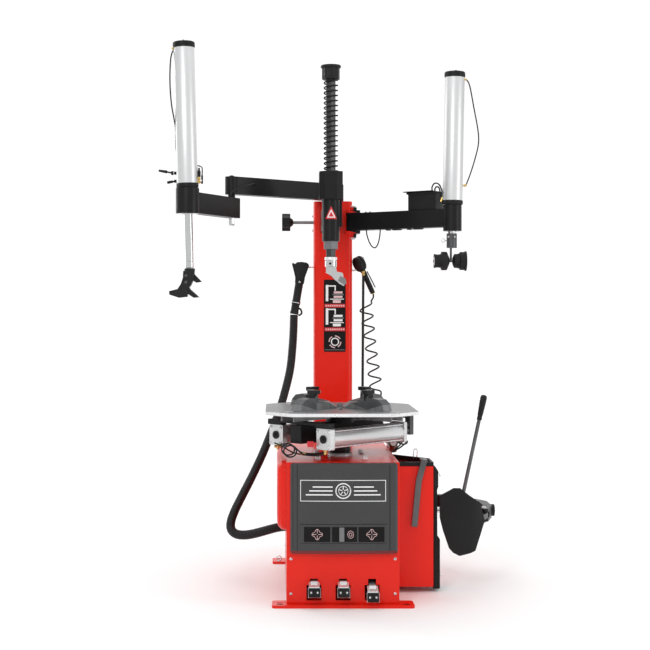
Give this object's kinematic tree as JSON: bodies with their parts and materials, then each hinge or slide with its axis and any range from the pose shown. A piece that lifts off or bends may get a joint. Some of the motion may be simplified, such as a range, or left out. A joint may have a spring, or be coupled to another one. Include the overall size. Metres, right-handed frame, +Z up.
{
  "type": "tire changer machine",
  "caption": "Workshop tire changer with tilting tower, sliding mount head, jawed turntable, two air assist arms and a side bead breaker.",
  "frame": {"origin": "on the floor under the turntable's axis, on the underside of the floor frame's centre strap", "axes": "+X to the operator's right, +Y to the back, +Z up"},
  "size_m": [1.4848, 1.2482, 2.3522],
  "materials": {
    "red_paint": "glossy red enamel",
    "dark_cover": "satin dark grey moulding",
    "black_parts": "satin black powder coat",
    "black_plastic": "moulded black plastic",
    "bare_steel": "oiled bare steel",
    "aluminium": "satin anodised",
    "chrome": "polished",
    "cast_grey": "painted casting",
    "grey_tank": "grey paint",
    "rubber": "matt rubber"
  },
  "bodies": {
    "base": {"floor_frame": "red_paint", "cabinet_shell": "red_paint", "front_panel": "red_paint", "front_cover": "dark_cover", "left_side_cover": "red_paint", "side_box": "red_paint", "tool_tray": "black_plastic", "wheel_rest_pad": "rubber", "tyre_lever": "bare_steel", "gearbox": "cast_grey", "drive_motor": "cast_grey", "drive_belt": "rubber", "air_tank": "grey_tank", "breaker_cylinder": "grey_tank", "filter_regulator": "grey_tank", "blast_hose": "rubber"},
    "motor_wheel": {"motor_pulley": "bare_steel"},
    "worm_wheel": {"gearbox_pulley": "bare_steel"},
    "left_pedal": {"clamp_pedal": "bare_steel"},
    "middle_pedal": {"breaker_pedal": "bare_steel"},
    "right_pedal": {"rotation_pedal": "bare_steel"},
    "turntable": {"turntable_plate": "bare_steel", "spindle_hub": "black_parts"},
    "front_left_slide": {"jaw_front_left": "bare_steel", "cylinder_carrier": "black_parts", "clamp_cylinder_front": "aluminium", "clamp_cylinder_rear": "aluminium"},
    "front_right_slide": {"jaw_front_right": "bare_steel"},
    "rear_left_slide": {"jaw_rear_left": "bare_steel"},
    "rear_right_slide": {"jaw_rear_right": "bare_steel"},
    "tower": {"tower_column": "red_paint", "blast_nozzle": "black_plastic", "inflator_gun": "black_plastic", "chuck_hose": "rubber", "curly_hose": "rubber", "air_chuck": "bare_steel"},
    "knob": {"lock_knob": "black_plastic"},
    "trigger": {"gun_trigger": "black_plastic"},
    "arm": {"horizontal_arm": "black_parts", "shaft_guide": "black_parts", "shaft_spring": "black_parts"},
    "shaft": {"hex_shaft": "bare_steel", "shaft_cap": "black_plastic", "mount_head": "chrome"},
    "left_inner": {"left_inner_arm": "black_parts"},
    "left_outer": {"left_outer_arm": "black_parts", "left_cylinder": "aluminium"},
    "left_lever": {"left_valve_lever": "black_plastic"},
    "left_plunger": {"left_rod": "chrome", "left_press_foot": "black_parts"},
    "right_swing_arm": {"right_arm": "black_parts", "right_cylinder": "aluminium", "control_box": "black_plastic"},
    "right_plunger": {"right_rod": "chrome"},
    "roller": {"press_roller_left": "black_plastic", "press_roller_right": "black_plastic"},
    "breaker_swing_arm": {"breaker_arm": "black_parts"},
    "blade": {"breaker_blade": "black_parts", "breaker_handle": "bare_steel"},
    "breaker_plunger": {"breaker_rod": "chrome"}
  },
  "joints": [
    {"name": "turntable_spin", "type": "hinge", "parent": "base", "child": "turntable", "pos_m": [0, 0, 0.785], "axis": [0, 0, 1], "continuous": true},
    {"name": "worm_pulley_spin", "type": "hinge", "parent": "base", "child": "worm_wheel", "pos_m": [0.125, 0.1, 0.44], "axis": [1, 0, 0], "continuous": true},
    {"name": "motor_pulley_spin", "type": "hinge", "parent": "base", "child": "motor_wheel", "pos_m": [0.125, 0.1, 0.2], "axis": [1, 0, 0], "continuous": true},
    {"name": "jaw_front_left_slide", "type": "slide", "parent": "turntable", "child": "front_left_slide", "axis": [-0.7071, -0.7071, 0], "range_m": [-0.01, 0.09]},
    {"name": "jaw_front_right_slide", "type": "slide", "parent": "turntable", "child": "front_right_slide", "axis": [0.7071, -0.7071, 0], "range_m": [-0.01, 0.09]},
    {"name": "jaw_rear_left_slide", "type": "slide", "parent": "turntable", "child": "rear_left_slide", "axis": [-0.7071, 0.7071, 0], "range_m": [-0.01, 0.09]},
    {"name": "jaw_rear_right_slide", "type": "slide", "parent": "turntable", "child": "rear_right_slide", "axis": [0.7071, 0.7071, 0], "range_m": [-0.01, 0.09]},
    {"name": "clamp_pedal_press", "type": "hinge", "parent": "base", "child": "left_pedal", "pos_m": [-0.119, -0.15, 0.097], "axis": [1, 0, 0], "range_deg": [0, 10], "stiffness_Nm_per_rad": 20, "springref_deg": -11.46},
    {"name": "breaker_pedal_press", "type": "hinge", "parent": "base", "child": "middle_pedal", "pos_m": [0, -0.15, 0.097], "axis": [1, 0, 0], "range_deg": [0, 10], "stiffness_Nm_per_rad": 20, "springref_deg": -11.46},
    {"name": "rotation_pedal_rock", "type": "hinge", "parent": "base", "child": "right_pedal", "pos_m": [0.119, -0.15, 0.097], "axis": [1, 0, 0], "range_deg": [-6, 5], "stiffness_Nm_per_rad": 60, "springref_deg": -0.72},
    {"name": "tower_tilt", "type": "hinge", "parent": "base", "child": "tower", "pos_m": [0, 0.7, 0.5], "axis": [-1, 0, 0], "range_deg": [0, 25]},
    {"name": "lock_knob_turn", "type": "hinge", "parent": "tower", "child": "knob", "pos_m": [-0.225, 0.66, 1.631], "axis": [1, 0, 0], "range_deg": [0, 180]},
    {"name": "trigger_pull", "type": "hinge", "parent": "tower", "child": "trigger", "pos_m": [0.163, 0.65, 1.396], "axis": [0, 1, 0], "range_deg": [0, 4], "stiffness_Nm_per_rad": 0.6, "springref_deg": -11.46},
    {"name": "arm_slide", "type": "slide", "parent": "tower", "child": "arm", "axis": [0, -1, 0], "range_m": [-0.12, 0.1]},
    {"name": "shaft_slide", "type": "slide", "parent": "arm", "child": "shaft", "axis": [0, 0, -1], "range_m": [0, 0.29], "stiffness_N_per_m": 300, "springref_m": -0.5, "deforming": ["shaft_spring"]},
    {"name": "left_inner_swing", "type": "hinge", "parent": "tower", "child": "left_inner", "pos_m": [0.03, 0.64, 1.771], "axis": [0, 0, 1], "range_deg": [-30, 15]},
    {"name": "left_outer_swing", "type": "hinge", "parent": "left_inner", "child": "left_outer", "pos_m": [-0.474, 0.261, 1.67], "axis": [0, 0, 1], "range_deg": [-40, 40]},
    {"name": "left_lever_turn", "type": "hinge", "parent": "left_outer", "child": "left_lever", "pos_m": [-0.712, -0.007, 1.8], "axis": [0, 1, 0], "range_deg": [-12, 12]},
    {"name": "left_rod_slide", "type": "slide", "parent": "left_outer", "child": "left_plunger", "axis": [0.0262, 0, -0.9997], "range_m": [-0.2, 0.35]},
    {"name": "right_arm_swing", "type": "hinge", "parent": "tower", "child": "right_swing_arm", "pos_m": [0.091, 0.56, 1.626], "axis": [0, 0, 1], "range_deg": [-30, 20]},
    {"name": "right_rod_slide", "type": "slide", "parent": "right_swing_arm", "child": "right_plunger", "axis": [-0.0192, 0, -0.9998], "range_m": [0, 0.35]},
    {"name": "roller_spin", "type": "hinge", "parent": "right_plunger", "child": "roller", "pos_m": [0.515, 0.271, 1.432], "axis": [1, 0, 0], "continuous": true},
    {"name": "breaker_arm_swing", "type": "hinge", "parent": "base", "child": "breaker_swing_arm", "pos_m": [0.43, 0.56, 0.312], "axis": [0, 0, 1], "range_deg": [0, 30]},
    {"name": "blade_swing", "type": "hinge", "parent": "breaker_swing_arm", "child": "blade", "pos_m": [0.64, 0.118, 0.312], "axis": [0, 0, 1], "range_deg": [0, 25]},
    {"name": "breaker_rod_slide", "type": "slide", "parent": "base", "child": "breaker_plunger", "axis": [1, 0, 0], "range_m": [0, 0.14]}
  ],
  "couplings": [
    {"joint": "jaw_front_right_slide", "follows": "jaw_front_left_slide", "ratio": 1},
    {"joint": "jaw_rear_left_slide", "follows": "jaw_front_left_slide", "ratio": 1},
    {"joint": "jaw_rear_right_slide", "follows": "jaw_front_left_slide", "ratio": 1},
    {"joint": "breaker_rod_slide", "follows": "breaker_arm_swing", "m_per_rad": 0.26},
    {"joint": "worm_pulley_spin", "follows": "turntable_spin", "ratio": 40},
    {"joint": "motor_pulley_spin", "follows": "turntable_spin", "ratio": 80}
  ]
}
